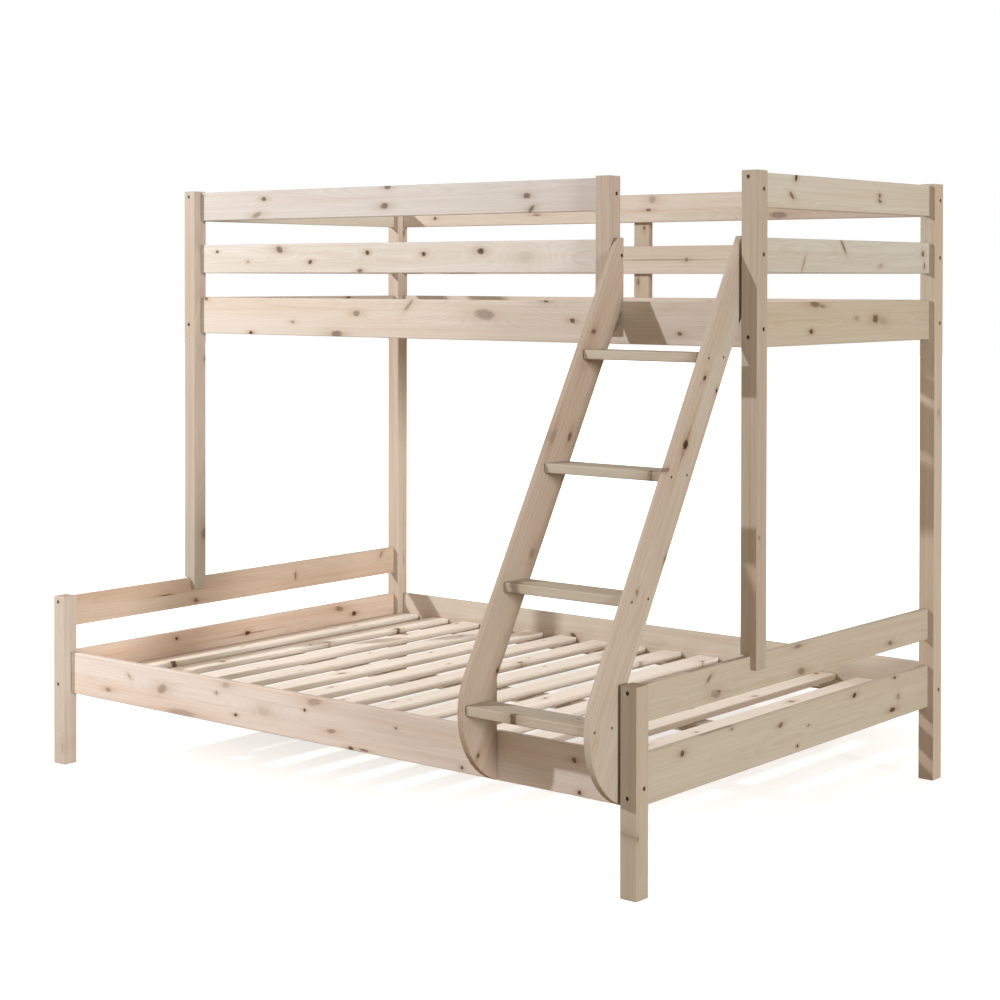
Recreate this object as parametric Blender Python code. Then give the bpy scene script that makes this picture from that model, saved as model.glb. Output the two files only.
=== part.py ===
"""Bunk bed with ladder, in pine: a wide lower bed, a narrower upper bed and a slanting ladder.

Bed coordinates, in metres: X runs from the left end to the right end, Y from the front posts of the
lower bed to the rear, Z up from the floor. The empty "bed" moves them all, so that the part's own
origin is under the middle of its box, on the floor.
"""
import math

import bmesh
import bpy
from mathutils import Vector

# Driving dimensions
MATTRESS_LENGTH = 2.000
LOWER_CLEAR_DEPTH = 1.412
UPPER_CLEAR_DEPTH = 0.900
POST = 0.048
BOARD = 0.020
POST_PROUD = 0.004
TOUCH_GAP = 0.0003
EASED_EDGE = 0.002

LENGTH = MATTRESS_LENGTH + 2 * POST
DEPTH = LOWER_CLEAR_DEPTH + 2 * POST
UPPER_DEPTH = UPPER_CLEAR_DEPTH + 2 * POST
UPPER_FRONT = DEPTH - UPPER_DEPTH
REAR_POST_FRONT = DEPTH - POST
RIGHT_POST_LEFT = LENGTH - POST

# Board heights, as (bottom, top)
LOWER_DEEP_Z = (0.208, 0.328)
LOWER_END_TOP_Z = (0.401, 0.489)
UPPER_DEEP_Z = (1.256, 1.368)
UPPER_MIDDLE_Z = (1.443, 1.531)
UPPER_TOP_Z = (1.606, 1.694)
SHORT_POST_TOP = LOWER_END_TOP_Z[1] + POST_PROUD
TALL_POST_TOP = UPPER_TOP_Z[1] + POST_PROUD

# Where the boards sit on the posts
LONG_RAIL_RECESS = 0.025
END_RAIL_LEFT = 0.010
FOOT_LAP = 0.034
GUARD_POST_LEFT = 1.597
GUARD_POST_LAP = 0.080
BATTEN_WIDTH = 0.060

# Slats and what carries them
SLAT_COUNT = 15
SLAT_WIDTH = 0.070
SLAT_THICKNESS = 0.017
SLAT_SIDE_PLAY = 0.005
SLAT_END_PLAY = 0.002
SLAT_BELOW_RAIL_TOP = 0.068
LEDGER_WIDTH = 0.024
LEDGER_HEIGHT = 0.024
STRAP_WIDTH = 0.020
STRAP_THICKNESS = 0.002
STRAP_SINK = 0.0005
STRAP_INSET = 0.200
BEAM_WIDTH = 0.070

# Ladder
LADDER_LEAN = math.radians(30)
STILE_WIDTH = 0.102
STILE_THICKNESS = 0.020
STILE_TOP = 1.535
STILE_BACK_OFFSET = -0.2403
STILE_HOOK_BACK = UPPER_FRONT + 0.0356
RIGHT_STILE_LEFT = 2.0205
FOOT_RADIUS = 0.190
FOOT_ARC_STEPS = 14
TREAD_COUNT = 4
TREAD_DEPTH = 0.088
TREAD_THICKNESS = 0.024
LOWEST_TREAD_Z = 0.3965
TREAD_RISE = 0.279
LOWEST_TREAD_SETBACK = 0.017

# Sunk holes for the heads of the frame bolts and of the tread screws
HOLE_SIDES = 14
BOLT_HOLE_RADIUS = 0.0055
BOLT_HOLE_DEPTH = 0.006
SCREW_HOLE_RADIUS = 0.0035
SCREW_HOLE_DEPTH = 0.002
SCREW_SPREAD = 0.033
END_RAIL_BOLT_INSET = 0.013
DEEP_RAIL_BOLT_RISE = 0.026
LONG_RAIL_BOLT_Y = 0.030
END_RAIL_BOLT_X = 0.020
LOWER_LONG_BOLT_Z = 0.256
UPPER_LONG_BOLT_Z = (1.302, 1.488, 1.651)
STILE_BOLT_Y = UPPER_FRONT + 0.026

COLOURS = {
    "post_pine": (0.66, 0.53, 0.42),
    "rail_pine": (0.74, 0.60, 0.48),
    "ladder_pine": (0.64, 0.52, 0.40),
    "slat_pine": (0.78, 0.65, 0.53),
}
PINE_ROUGHNESS = 0.62


def clear_scene():
    for item in list(bpy.data.objects):
        bpy.data.objects.remove(item, do_unlink=True)


def pine(name, slot):
    """A wood material of its own for one piece."""
    material = bpy.data.materials.new(f"{name}_{slot}")
    material.use_nodes = True
    shader = material.node_tree.nodes["Principled BSDF"]
    shader.inputs["Base Color"].default_value = (*COLOURS[slot], 1.0)
    shader.inputs["Roughness"].default_value = PINE_ROUGHNESS
    shader.inputs["Metallic"].default_value = 0.0
    return material


def add_object(name, mesh_builder, bed, location=(0.0, 0.0, 0.0)):
    """Turn a bmesh into a named object, parented to the bed's empty."""
    mesh = bpy.data.meshes.new(name)
    bmesh.ops.recalc_face_normals(mesh_builder, faces=mesh_builder.faces)
    mesh_builder.to_mesh(mesh)
    mesh_builder.free()
    item = bpy.data.objects.new(name, mesh)
    item.parent = bed
    item.location = location
    bpy.context.scene.collection.objects.link(item)
    return item


def box_mesh(size):
    shape = bmesh.new()
    bmesh.ops.create_cube(shape, size=1.0)
    bmesh.ops.scale(shape, vec=size, verts=shape.verts)
    return shape


def ease_edges(item, width=EASED_EDGE):
    chamfer = item.modifiers.new("eased_edges", "BEVEL")
    chamfer.width = width
    chamfer.segments = 1
    chamfer.limit_method = "ANGLE"


def board(name, slot, bed, x_range, y_range, z_range, edge=EASED_EDGE):
    """A straight piece of timber that fills the given ranges."""
    ranges = (x_range, y_range, z_range)
    size = [high - low for low, high in ranges]
    middle = [(high + low) / 2 for low, high in ranges]
    item = add_object(name, box_mesh(size), bed, middle)
    item.data.materials.append(pine(name, slot))
    ease_edges(item, edge)
    return item


def prism(name, slot, bed, outline, x_range):
    """A board cut to an outline in Y and Z, standing across X."""
    shape = bmesh.new()
    low_x, high_x = x_range
    corners = [shape.verts.new((low_x, y, z)) for y, z in outline]
    face = shape.faces.new(corners)
    sweep = bmesh.ops.extrude_face_region(shape, geom=[face])
    moved = [v for v in sweep["geom"] if isinstance(v, bmesh.types.BMVert)]
    bmesh.ops.translate(shape, verts=moved, vec=(high_x - low_x, 0.0, 0.0))
    item = add_object(name, shape, bed)
    item.data.materials.append(pine(name, slot))
    return item


def add_cutter(item, cutter, bed):
    """Cut one object out of another; the cutter stays as a hidden guide."""
    cutter.hide_render = True
    cutter.display_type = "WIRE"
    cutter.parent = bed
    cut = item.modifiers.new(f"cut_{cutter.name}", "BOOLEAN")
    cut.operation = "DIFFERENCE"
    cut.solver = "EXACT"
    cut.object = cutter


def sink_holes(item, bed, kind, holes, radius, depth):
    """Cut blind round holes: each is (centre on the surface, direction into the wood)."""
    shape = bmesh.new()
    for centre, inward in holes:
        turn = Vector((0.0, 0.0, 1.0)).rotation_difference(Vector(inward)).to_matrix().to_4x4()
        turn.translation = Vector(centre)
        bmesh.ops.create_cone(shape, cap_ends=True, segments=HOLE_SIDES, radius1=radius, radius2=radius,
                              depth=2 * depth, matrix=turn)
    add_cutter(item, add_object(f"{item.name}_{kind}_holes", shape, bed), bed)


def bolt_holes(item, bed, holes):
    sink_holes(item, bed, "bolt", holes, BOLT_HOLE_RADIUS, BOLT_HOLE_DEPTH)


def screw_holes(item, bed, holes):
    sink_holes(item, bed, "screw", holes, SCREW_HOLE_RADIUS, SCREW_HOLE_DEPTH)


def span_between(low, high):
    """The length left for a piece that butts against both neighbours."""
    return low + TOUCH_GAP, high - TOUCH_GAP


def end_bolt_heights(top_rail, deep_rail):
    return top_rail[1] - END_RAIL_BOLT_INSET, deep_rail[0] + DEEP_RAIL_BOLT_RISE


def post_holes(left_x, front_y, end_face_y, side, end_heights, long_heights):
    """Holes in a post: into the end rails through its front or rear face, into the long rails
    through its outer side face."""
    inward_y = 1.0 if end_face_y == front_y else -1.0
    side_x, inward_x = (left_x, 1.0) if side == "left" else (left_x + POST, -1.0)
    holes = [((left_x + END_RAIL_BOLT_X, end_face_y, z), (0.0, inward_y, 0.0)) for z in end_heights]
    holes += [((side_x, front_y + LONG_RAIL_BOLT_Y, z), (inward_x, 0.0, 0.0)) for z in long_heights]
    return holes


def build_posts(bed):
    lower_ends = end_bolt_heights(LOWER_END_TOP_Z, LOWER_DEEP_Z)
    upper_ends = end_bolt_heights(UPPER_TOP_Z, UPPER_DEEP_Z)
    for side, left_x in (("left", 0.0), ("right", RIGHT_POST_LEFT)):
        x_range = (left_x, left_x + POST)

        name = f"lower_front_post_{side}"
        short = board(name, "post_pine", bed, x_range, (0.0, POST), (0.0, SHORT_POST_TOP))
        bolt_holes(short, bed, post_holes(left_x, 0.0, 0.0, side, lower_ends, (LOWER_LONG_BOLT_Z,)))

        name = f"rear_post_{side}"
        tall = board(name, "post_pine", bed, x_range, (REAR_POST_FRONT, DEPTH), (0.0, TALL_POST_TOP))
        long_heights = (LOWER_LONG_BOLT_Z, *UPPER_LONG_BOLT_Z)
        bolt_holes(tall, bed, post_holes(left_x, REAR_POST_FRONT, DEPTH, side, lower_ends + upper_ends,
                                         long_heights))

        build_upper_front_post(bed, side, left_x, upper_ends)
    build_guard_post(bed)


def build_upper_front_post(bed, side, left_x, end_heights):
    """Its foot stands on the lower bed's end rail and laps down that rail's right face."""
    name = f"upper_front_post_{side}"
    y_range = (UPPER_FRONT, UPPER_FRONT + POST)
    rail_top = LOWER_END_TOP_Z[1]
    post = board(name, "post_pine", bed, (left_x, left_x + POST), y_range,
                 (rail_top - FOOT_LAP, TALL_POST_TOP))
    rail_right = left_x + END_RAIL_LEFT + BOARD
    notch_low = (left_x - POST, UPPER_FRONT - POST, rail_top - 2 * POST)
    notch_high = (rail_right + TOUCH_GAP, UPPER_FRONT + 2 * POST, rail_top + TOUCH_GAP)
    cut_box(post, bed, notch_low, notch_high)
    holes = post_holes(left_x, UPPER_FRONT, UPPER_FRONT, side, end_heights, UPPER_LONG_BOLT_Z)
    bolt_holes(post, bed, holes)


def build_guard_post(bed):
    """Stands on the upper deep rail, and its front part laps down in front of it."""
    rail_top = UPPER_DEEP_Z[1]
    x_range = (GUARD_POST_LEFT, GUARD_POST_LEFT + POST)
    y_range = (UPPER_FRONT, UPPER_FRONT + POST)
    post = board("guard_post", "post_pine", bed, x_range, y_range,
                 (rail_top - GUARD_POST_LAP, TALL_POST_TOP))
    rail_face = UPPER_FRONT + LONG_RAIL_RECESS
    notch_low = (x_range[0] - POST, rail_face - TOUCH_GAP, rail_top - 2 * GUARD_POST_LAP)
    notch_high = (x_range[1] + POST, UPPER_FRONT + 2 * POST, rail_top + TOUCH_GAP)
    cut_box(post, bed, notch_low, notch_high)
    right_face = x_range[1]
    hole = ((right_face, UPPER_FRONT + LONG_RAIL_BOLT_Y, UPPER_LONG_BOLT_Z[2]), (-1.0, 0.0, 0.0))
    bolt_holes(post, bed, [hole])


def cut_box(item, bed, low, high):
    size = [b - a for a, b in zip(low, high)]
    middle = [(a + b) / 2 for a, b in zip(low, high)]
    add_cutter(item, add_object(f"{item.name}_notch", box_mesh(size), bed, middle), bed)


def build_end_rails(bed):
    """Rails between the posts of each end frame; both frames have them at the same offset."""
    lower_span = span_between(POST, REAR_POST_FRONT)
    upper_span = span_between(UPPER_FRONT + POST, REAR_POST_FRONT)
    rails = (
        ("lower_end_rail", LOWER_END_TOP_Z, lower_span),
        ("lower_end_deep_rail", LOWER_DEEP_Z, lower_span),
        ("upper_end_deep_rail", UPPER_DEEP_Z, upper_span),
        ("upper_end_middle_board", UPPER_MIDDLE_Z, upper_span),
        ("upper_end_top_board", UPPER_TOP_Z, upper_span),
    )
    for side, left_x in (("left", 0.0), ("right", RIGHT_POST_LEFT)):
        x_low = left_x + END_RAIL_LEFT
        for name, z_range, span in rails:
            board(f"{name}_{side}", "rail_pine", bed, (x_low, x_low + BOARD), span, z_range)


def build_long_rails(bed):
    full = span_between(POST, RIGHT_POST_LEFT)
    guard = span_between(POST, GUARD_POST_LEFT)
    lower_front = LONG_RAIL_RECESS
    upper_front = UPPER_FRONT + LONG_RAIL_RECESS
    rear = REAR_POST_FRONT + LONG_RAIL_RECESS
    rails = (
        ("lower_front_rail", full, lower_front, LOWER_DEEP_Z),
        ("lower_rear_rail", full, rear, LOWER_DEEP_Z),
        ("upper_front_deep_rail", full, upper_front, UPPER_DEEP_Z),
        ("guard_middle_board", guard, upper_front, UPPER_MIDDLE_Z),
        ("guard_top_board", guard, upper_front, UPPER_TOP_Z),
        ("upper_rear_deep_rail", full, rear, UPPER_DEEP_Z),
        ("rear_middle_board", full, rear, UPPER_MIDDLE_Z),
        ("rear_top_board", full, rear, UPPER_TOP_Z),
    )
    for name, span, front_y, z_range in rails:
        board(name, "rail_pine", bed, span, (front_y, front_y + BOARD), z_range)
    batten_front = rear + BOARD + TOUCH_GAP
    batten_left = (LENGTH - BATTEN_WIDTH) / 2
    board("rear_batten", "rail_pine", bed, (batten_left, batten_left + BATTEN_WIDTH),
          (batten_front, batten_front + BOARD), (UPPER_DEEP_Z[0], UPPER_TOP_Z[1]))


def slat_ranges():
    """The X range of each slat: even steps between the end posts."""
    first = POST + SLAT_SIDE_PLAY
    step = (MATTRESS_LENGTH - 2 * SLAT_SIDE_PLAY - SLAT_WIDTH) / (SLAT_COUNT - 1)
    return [(first + i * step, first + i * step + SLAT_WIDTH) for i in range(SLAT_COUNT)]


def build_ledgers(bed, level, front_rail_y, ledger_top):
    """A ledger along the inner face of the front rail and of the rear rail."""
    z_range = (ledger_top - LEDGER_HEIGHT, ledger_top)
    span = span_between(POST, RIGHT_POST_LEFT)
    front_low = front_rail_y + BOARD + TOUCH_GAP
    rear_high = REAR_POST_FRONT + LONG_RAIL_RECESS - TOUCH_GAP
    board(f"{level}_ledger_front", "slat_pine", bed, span, (front_low, front_low + LEDGER_WIDTH), z_range)
    board(f"{level}_ledger_rear", "slat_pine", bed, span, (rear_high - LEDGER_WIDTH, rear_high), z_range)


def build_lower_slats(bed):
    slat_top = LOWER_DEEP_Z[1] - SLAT_BELOW_RAIL_TOP
    slat_bottom = slat_top - SLAT_THICKNESS
    ledger_top = slat_bottom - TOUCH_GAP
    front = LONG_RAIL_RECESS + BOARD + SLAT_END_PLAY
    rear = REAR_POST_FRONT + LONG_RAIL_RECESS - SLAT_END_PLAY
    build_ledgers(bed, "lower", LONG_RAIL_RECESS, ledger_top)
    for number, x_range in enumerate(slat_ranges(), start=1):
        board(f"lower_slat_{number:02d}", "slat_pine", bed, x_range, (front, rear),
              (slat_bottom, slat_top))
    beam_bottom = ledger_top - LEDGER_HEIGHT
    middle_y = DEPTH / 2
    beam_span = span_between(END_RAIL_LEFT + BOARD, RIGHT_POST_LEFT + END_RAIL_LEFT)
    board("slat_beam", "slat_pine", bed, beam_span,
          (middle_y - BEAM_WIDTH / 2, middle_y + BEAM_WIDTH / 2), (beam_bottom, ledger_top))
    board("centre_leg", "post_pine", bed, ((LENGTH - POST) / 2, (LENGTH + POST) / 2),
          (middle_y - POST / 2, middle_y + POST / 2), (0.0, beam_bottom - TOUCH_GAP))


def build_upper_slat_base(bed):
    """A roll-out slat base: the slats are joined by two straps under them."""
    slat_top = UPPER_DEEP_Z[1] - SLAT_BELOW_RAIL_TOP
    slat_bottom = slat_top - SLAT_THICKNESS
    front_rail = UPPER_FRONT + LONG_RAIL_RECESS
    front = front_rail + BOARD + SLAT_END_PLAY
    rear = REAR_POST_FRONT + LONG_RAIL_RECESS - SLAT_END_PLAY
    build_ledgers(bed, "upper", front_rail, slat_bottom - TOUCH_GAP)

    slats = bmesh.new()
    for low_x, high_x in slat_ranges():
        add_box(slats, (low_x, front, slat_bottom), (high_x, rear, slat_top))
    base = add_object("upper_slat_base", slats, bed)
    base.data.materials.append(pine("upper_slat_base", "slat_pine"))
    ease_edges(base)

    straps = bmesh.new()
    first_x = slat_ranges()[0][0] + SLAT_SIDE_PLAY
    last_x = slat_ranges()[-1][1] - SLAT_SIDE_PLAY
    for low_y in (front + STRAP_INSET, rear - STRAP_INSET - STRAP_WIDTH):
        add_box(straps, (first_x, low_y, slat_bottom + STRAP_SINK - STRAP_THICKNESS),
                (last_x, low_y + STRAP_WIDTH, slat_bottom + STRAP_SINK))
    strap_guide = add_object("slat_straps", straps, bed)
    strap_guide.hide_render = True
    strap_guide.display_type = "WIRE"
    join = base.modifiers.new("join_straps", "BOOLEAN")
    join.operation = "UNION"
    join.solver = "EXACT"
    join.object = strap_guide


def add_box(shape, low, high):
    """Add a box with the given corners to a bmesh."""
    size = [b - a for a, b in zip(low, high)]
    middle = [(a + b) / 2 for a, b in zip(low, high)]
    made = bmesh.ops.create_cube(shape, size=1.0)
    bmesh.ops.scale(shape, vec=size, verts=made["verts"])
    bmesh.ops.translate(shape, vec=middle, verts=made["verts"])


def back_edge_y(z):
    return math.tan(LADDER_LEAN) * z + STILE_BACK_OFFSET


def front_edge_y(z):
    return back_edge_y(z) - STILE_WIDTH / math.cos(LADDER_LEAN)


def foot_arc():
    """The rounded foot: an arc that touches the sloping front edge and ends at the lowest back corner."""
    corner = Vector((LONG_RAIL_RECESS - TOUCH_GAP, LOWER_DEEP_Z[0]))
    along = Vector((math.sin(LADDER_LEAN), math.cos(LADDER_LEAN)))
    inward = Vector((math.cos(LADDER_LEAN), -math.sin(LADDER_LEAN)))
    start = Vector((front_edge_y(0.0), 0.0))
    reach = start - corner
    half_b = reach.dot(along)
    rest = reach.length_squared + 2 * FOOT_RADIUS * reach.dot(inward)
    touch = start + along * (-half_b + math.sqrt(half_b ** 2 - rest))
    centre = touch + inward * FOOT_RADIUS
    first = math.atan2(touch.y - centre.y, touch.x - centre.x) % math.tau
    last = math.atan2(corner.y - centre.y, corner.x - centre.x) % math.tau
    angles = [first + (last - first) * i / FOOT_ARC_STEPS for i in range(FOOT_ARC_STEPS + 1)]
    return [(centre.x + FOOT_RADIUS * math.cos(a), centre.y + FOOT_RADIUS * math.sin(a)) for a in angles]


def stile_outline():
    """Side view of a stile, from the top front corner down the front and back up along the rails."""
    lower_face = LONG_RAIL_RECESS - TOUCH_GAP
    upper_face = UPPER_FRONT + LONG_RAIL_RECESS - TOUCH_GAP
    hook_z = UPPER_DEEP_Z[1] + TOUCH_GAP
    slope = math.tan(LADDER_LEAN)
    points = [(front_edge_y(STILE_TOP), STILE_TOP)]
    points += foot_arc()
    points.append((lower_face, (lower_face - STILE_BACK_OFFSET) / slope))
    points.append((upper_face, (upper_face - STILE_BACK_OFFSET) / slope))
    points.append((upper_face, hook_z))
    points.append((STILE_HOOK_BACK, hook_z))
    points.append((STILE_HOOK_BACK, STILE_TOP))
    return points


def tread_centres():
    """Each tread's centre in Y and Z: on the stiles' middle line, the lowest one set back a little."""
    heights = [LOWEST_TREAD_Z + number * TREAD_RISE for number in range(TREAD_COUNT)]
    centres = [((back_edge_y(z) + front_edge_y(z)) / 2, z) for z in heights]
    lowest_y, lowest_z = centres[0]
    return [(lowest_y + LOWEST_TREAD_SETBACK, lowest_z)] + centres[1:]


def build_ladder(bed):
    left_x = GUARD_POST_LEFT + POST + TOUCH_GAP
    left_inner = GUARD_POST_LEFT + POST + STILE_THICKNESS
    right_x = RIGHT_STILE_LEFT
    left = prism("ladder_stile_left", "ladder_pine", bed, stile_outline(), (left_x, left_inner))
    right = prism("ladder_stile_right", "ladder_pine", bed, stile_outline(),
                  (right_x, right_x + STILE_THICKNESS))
    bolt = ((left_inner, STILE_BOLT_Y, UPPER_LONG_BOLT_Z[1]), (-1.0, 0.0, 0.0))
    for stile, outer_x, inward_x in ((left, left_x, 1.0), (right, right_x + STILE_THICKNESS, -1.0)):
        ease_edges(stile)
        screws = [((outer_x, y + offset, z), (inward_x, 0.0, 0.0))
                  for y, z in tread_centres() for offset in (-SCREW_SPREAD, SCREW_SPREAD)]
        screw_holes(stile, bed, screws)
    bolt_holes(left, bed, [bolt])

    span = span_between(left_inner, right_x)
    for number, (y, z) in enumerate(tread_centres(), start=1):
        board(f"ladder_tread_{number}", "ladder_pine", bed, span,
              (y - TREAD_DEPTH / 2, y + TREAD_DEPTH / 2), (z - TREAD_THICKNESS / 2, z + TREAD_THICKNESS / 2))


def bed_empty():
    """The empty that carries every piece, placed so that the box's bottom centre is the origin."""
    front = min(y for y, _ in foot_arc())
    rear = REAR_POST_FRONT + LONG_RAIL_RECESS + 2 * BOARD + TOUCH_GAP
    bed = bpy.data.objects.new("bed", None)
    bed.location = (-LENGTH / 2, -(front + rear) / 2, 0.0)
    bpy.context.scene.collection.objects.link(bed)
    return bed


def main():
    clear_scene()
    bed = bed_empty()
    build_posts(bed)
    build_end_rails(bed)
    build_long_rails(bed)
    build_lower_slats(bed)
    build_upper_slat_base(bed)
    build_ladder(bed)


main()
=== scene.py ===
"""Looks of the bunk bed: planed pine with its grain and knots, sunk bolt heads, tread screws, and the
upper slats on their woven straps, on a pale studio floor.

Every length is in metres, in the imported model's own frame. A board's own coordinates run along its
grain from one end, across its width from one edge, and through its thickness from the middle.
"""
import math
import random

import bmesh
import bpy
from mathutils import Matrix, Vector


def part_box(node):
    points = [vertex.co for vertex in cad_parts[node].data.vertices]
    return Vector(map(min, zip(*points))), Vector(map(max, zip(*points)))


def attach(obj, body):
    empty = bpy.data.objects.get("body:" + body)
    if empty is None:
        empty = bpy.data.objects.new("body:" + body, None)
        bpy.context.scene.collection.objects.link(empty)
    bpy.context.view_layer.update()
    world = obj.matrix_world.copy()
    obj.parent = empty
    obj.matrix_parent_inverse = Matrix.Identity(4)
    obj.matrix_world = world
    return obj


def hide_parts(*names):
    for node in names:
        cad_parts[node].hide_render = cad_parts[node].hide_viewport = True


WHITE = (1.0, 1.0, 1.0, 1.0)

# Camera, a little below the top of the bed
CAMERA_PLACE = (3.7031, -4.4755, 1.4255)
CAMERA_TURN = (89.366, -0.085, 39.378)
CAMERA_LENS = 72.61
CAMERA_SHIFT = (0.0097, -0.1985)

# Studio light: a lamp to the front left, a low soft light from the right, a broad one from behind, and
# a warm surround
KEY_PLACE = (-3.62, -3.91, 3.50)
KEY_RADIUS = 0.09
KEY_POWER = 1060.0
SIDE_DIRECTION = (-4.0, 1.0, -0.5)
SIDE_SPREAD = math.radians(11)
SIDE_POWER = 2.15
BACK_DIRECTION = (0.1, -1.0, -0.5)
BACK_SPREAD = math.radians(50)
BACK_POWER = 1.0
SURROUND_COLOUR = (1.0, 0.79, 0.61)
SURROUND_POWER = 0.395

# Floor: its colours, its glow for the camera near the bed, far away and in the bed's shade, and the
# distances from the middle between which the glow rises
FLOOR_SIZE = 60.0
FLOOR_COLOUR = (0.9, 0.9, 0.9, 1.0)
FLOOR_SHADE_COLOUR = (0.44, 0.43, 0.41, 1.0)
FLOOR_BOUNCE_COLOUR = (0.50, 0.44, 0.37, 1.0)
FLOOR_GLOW = 0.86
FLOOR_FAR_GLOW = 1.1
FLOOR_SHADE_GLOW = 0.57
FLOOR_GLOW_RISE = (2.0, 4.5)
# The soft oval pool of shade under and behind the bed: its centre, its half size, and the share of
# that which is fully shaded
SHADE_CENTRE = (-0.70, 0.85)
SHADE_REACH = (2.5, 1.8)
SHADE_FULL = 0.35

# Planed edges
EDGE_ROUNDING = 0.0009
EDGE_STEPS = 3
SHARPEST_ROUNDED = math.radians(32)
WELD_DISTANCE = 0.00001

# Ladder stiles lean, so their grain does too
LADDER_LEAN = math.radians(30)
STILE_LENGTH = 1.50
STILE_WIDTH = 0.102
TREAD_COUNT = 4

# Frame bolts: where they sit, measured from the rails' and posts' own boxes
BOLT_BELOW_RAIL_TOP = 0.013
BOLT_ABOVE_RAIL_BOTTOM = 0.026
BOLT_FROM_POST_LEFT = 0.020
BOLT_FROM_POST_FRONT = 0.030
STILE_BOLT_FROM_POST_FRONT = 0.026
LONG_RAIL_BOLT_RISE = 0.048
UPPER_LONG_BOLT_RISES = (("upper_front_deep_rail", 0.046), ("guard_middle_board", 0.045),
                         ("guard_top_board", 0.045))

# Heads: radius, depth under the wood's surface, height, and the socket's corner radius, depth and
# number of corners
BOLT_HEAD = {"radius": 0.0053, "sink": 0.0020, "height": 0.0032, "socket": 0.0026, "depth": 0.0020,
             "corners": 6}
SCREW_HEAD = {"radius": 0.0032, "sink": 0.0006, "height": 0.0012, "socket": 0.0018, "depth": 0.0008,
              "corners": 4}
HEAD_SIDES = 24
CHAMFER_SHARE = 0.12
SOCKET_TAPER = 0.96
SCREW_SPREAD = 0.033
STEEL_DARK = (0.085, 0.058, 0.042, 1.0)
STEEL_LIGHT = (0.17, 0.125, 0.095, 1.0)
STEEL_MOTTLE_SCALE = 900.0
STEEL_MOTTLE = (0.3, 0.7)
STEEL_ROUGHNESS = (0.3, 0.7, 0.42, 0.60)

# Upper slats and their straps
SLAT_COUNT = 15
SLAT_WIDTH = 0.070
SLAT_THICKNESS = 0.017
SLAT_EDGE = 0.0030
STRAP_INSET = 0.200
STRAP_WIDTH = 0.020
STRAP_THICKNESS = 0.0016
STRAP_END_INSET = 0.010
STRAP_COLOUR = (0.74, 0.71, 0.64, 1.0)
THREAD_PITCH_X = 0.0022
THREAD_PITCH_Y = 0.0016
STRAP_WEAR_SCALE = 60.0
STRAP_WEAR = (0.3, 0.7, 0.90, 1.05)
WEAVE_CONTRAST = 0.06
WEAVE_BUMP = {"Strength": 0.5, "Distance": 0.0003}
STAPLE_LENGTH = 0.010
STAPLE_WIRE = 0.0006


# ---------------------------------------------------------------- shader helpers

# The colour sockets of a Mix node, which has one set of sockets for each kind of value
MIX_FIRST = 6
MIX_SECOND = 7
MIX_RESULT = 2


class Tree:
    """Short calls for adding nodes to a node tree."""

    def __init__(self, tree):
        self.tree = tree

    def add(self, kind, inputs=None, **settings):
        """Add a node, with values or links for its inputs."""
        node = self.tree.nodes.new(kind)
        for name, value in settings.items():
            setattr(node, name, value)
        for name, value in (inputs or {}).items():
            self.feed(node.inputs[name], value)
        return node

    def feed(self, socket, value):
        """Link a socket to another one, or set its value."""
        if isinstance(value, bpy.types.NodeSocket):
            self.tree.links.new(value, socket)
        else:
            socket.default_value = value

    def math(self, operation, *values, clamp=False):
        node = self.add("ShaderNodeMath", operation=operation, use_clamp=clamp)
        for socket, value in zip(node.inputs, values):
            self.feed(socket, value)
        return node.outputs[0]

    def vector(self, operation, *values, output="Vector"):
        node = self.add("ShaderNodeVectorMath", operation=operation)
        for socket, value in zip(node.inputs, values):
            self.feed(socket, value)
        return node.outputs[output]

    def noise(self, place, scale=1.0, detail=2.0, roughness=0.5):
        node = self.add("ShaderNodeTexNoise", {"Vector": place, "Scale": scale, "Detail": detail,
                                               "Roughness": roughness})
        return node.outputs["Fac"]

    def ramp(self, value, low, high, bottom=0.0, top=1.0):
        """Turn low..high into bottom..top, with soft ends."""
        node = self.add("ShaderNodeMapRange", {"Value": value, "From Min": low, "From Max": high,
                                               "To Min": bottom, "To Max": top},
                        interpolation_type="SMOOTHSTEP")
        return node.outputs["Result"]

    def mix(self, share, first, second, blend="MIX"):
        node = self.add("ShaderNodeMix", data_type="RGBA", blend_type=blend)
        self.feed(node.inputs["Factor"], share)
        self.feed(node.inputs[MIX_FIRST], first)
        self.feed(node.inputs[MIX_SECOND], second)
        return node.outputs[MIX_RESULT]

    def grey(self, value):
        """A colour with the same value in all three channels."""
        return self.join(value, value, value)

    def split(self, place):
        node = self.add("ShaderNodeSeparateXYZ", {"Vector": place})
        return node.outputs["X"], node.outputs["Y"], node.outputs["Z"]

    def join(self, x, y, z):
        return self.add("ShaderNodeCombineXYZ", {"X": x, "Y": y, "Z": z}).outputs["Vector"]

    def squares(self, first, second):
        """The sum of two squares."""
        return self.math("MULTIPLY_ADD", first, first, self.math("MULTIPLY", second, second))


def new_group(name, inputs, outputs):
    """An empty shader group: inputs are (name, kind, default), outputs are (name, kind)."""
    group = bpy.data.node_groups.new(name, "ShaderNodeTree")
    for label, kind, value in inputs:
        socket = group.interface.new_socket(label, in_out="INPUT", socket_type=f"NodeSocket{kind}")
        socket.default_value = value
    for label, kind in outputs:
        group.interface.new_socket(label, in_out="OUTPUT", socket_type=f"NodeSocket{kind}")
    tree = Tree(group)
    entry = tree.add("NodeGroupInput")
    leave = tree.add("NodeGroupOutput")
    return group, tree, entry.outputs, leave.inputs


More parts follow.
